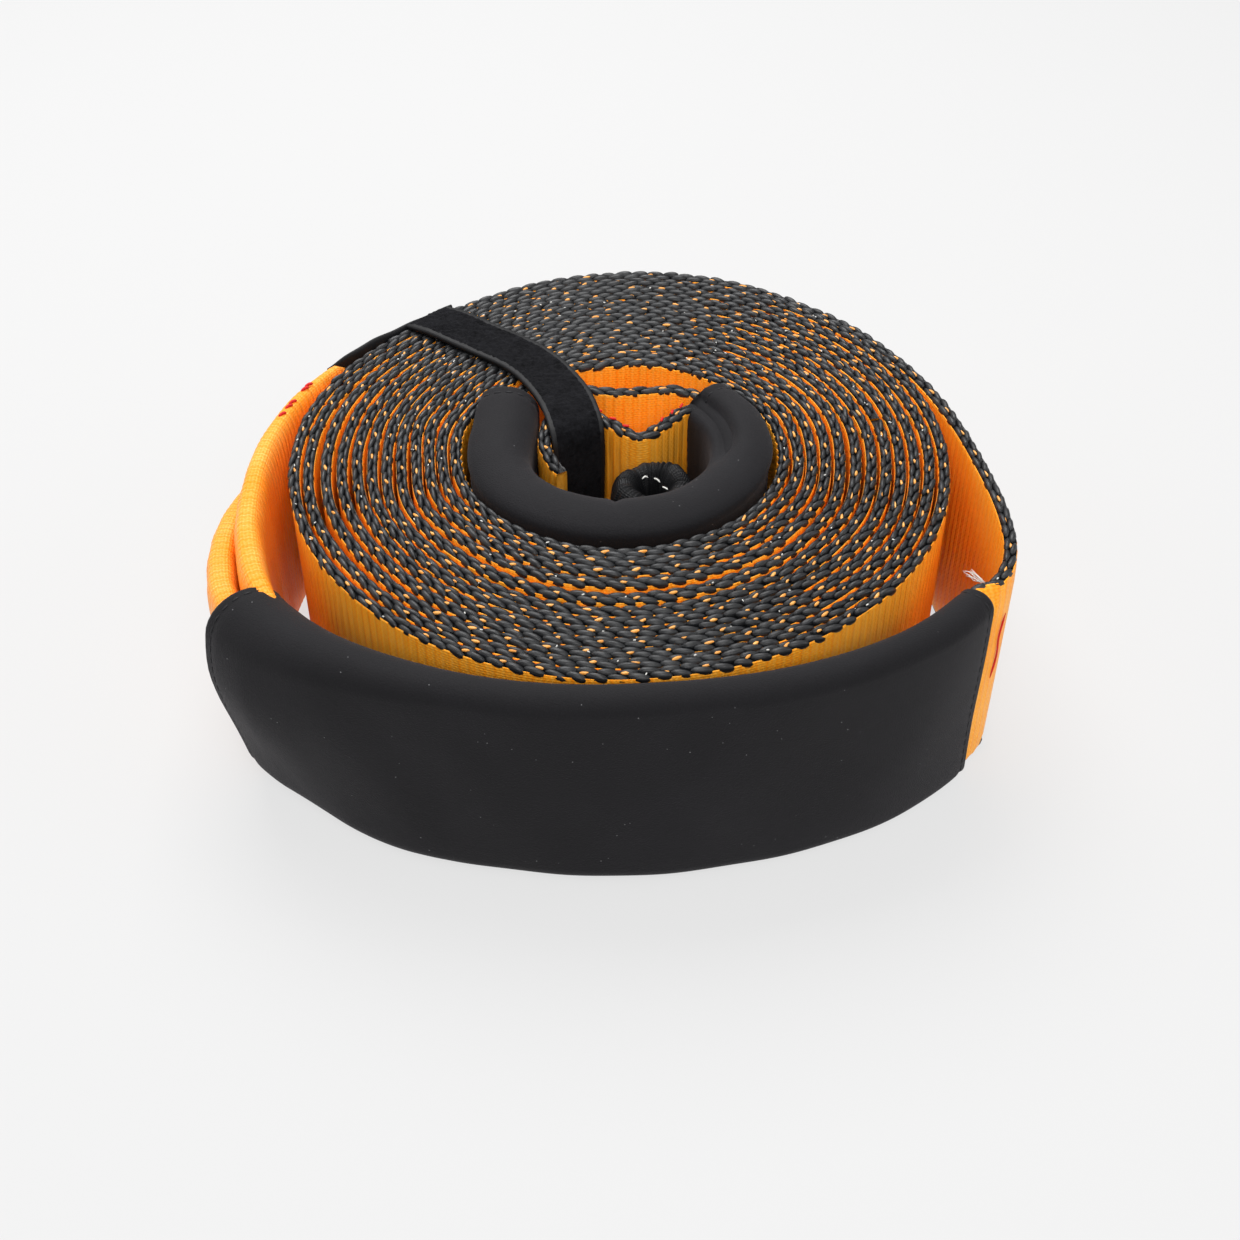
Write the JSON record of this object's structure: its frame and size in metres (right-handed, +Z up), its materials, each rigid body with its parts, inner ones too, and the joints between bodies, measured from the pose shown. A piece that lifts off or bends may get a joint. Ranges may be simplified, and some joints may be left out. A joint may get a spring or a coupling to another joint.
{
  "type": "coiled webbing tow strap",
  "caption": "Flat woven tow strap wound into an upright-edged coil, with sleeved end eyes, a tie tape and a gathered bag in its bore.",
  "frame": {"origin": "centre of the bounding box's bottom face, on the surface that the coil's edge lies on", "axes": "+Z up along the coil's axis, +X to the right and -Y to the front, where the outer sleeve is"},
  "size_m": [0.241, 0.2254, 0.078],
  "materials": {
    "webbing": "woven polyamide webbing, orange faces with black flecked selvedges",
    "sleeve": "knit-faced foam sleeve, matt black",
    "tape": "hook-and-loop tape, fuzzy black loop face",
    "bag": "thin black ribbed cloth, gathered, slightly shiny"
  },
  "bodies": {
    "root": {"webbing_strap": "webbing", "outer_sleeve": "sleeve", "inner_sleeve": "sleeve", "tie_tape": "tape", "gathered_bag": "bag"}
  },
  "joints": []
}
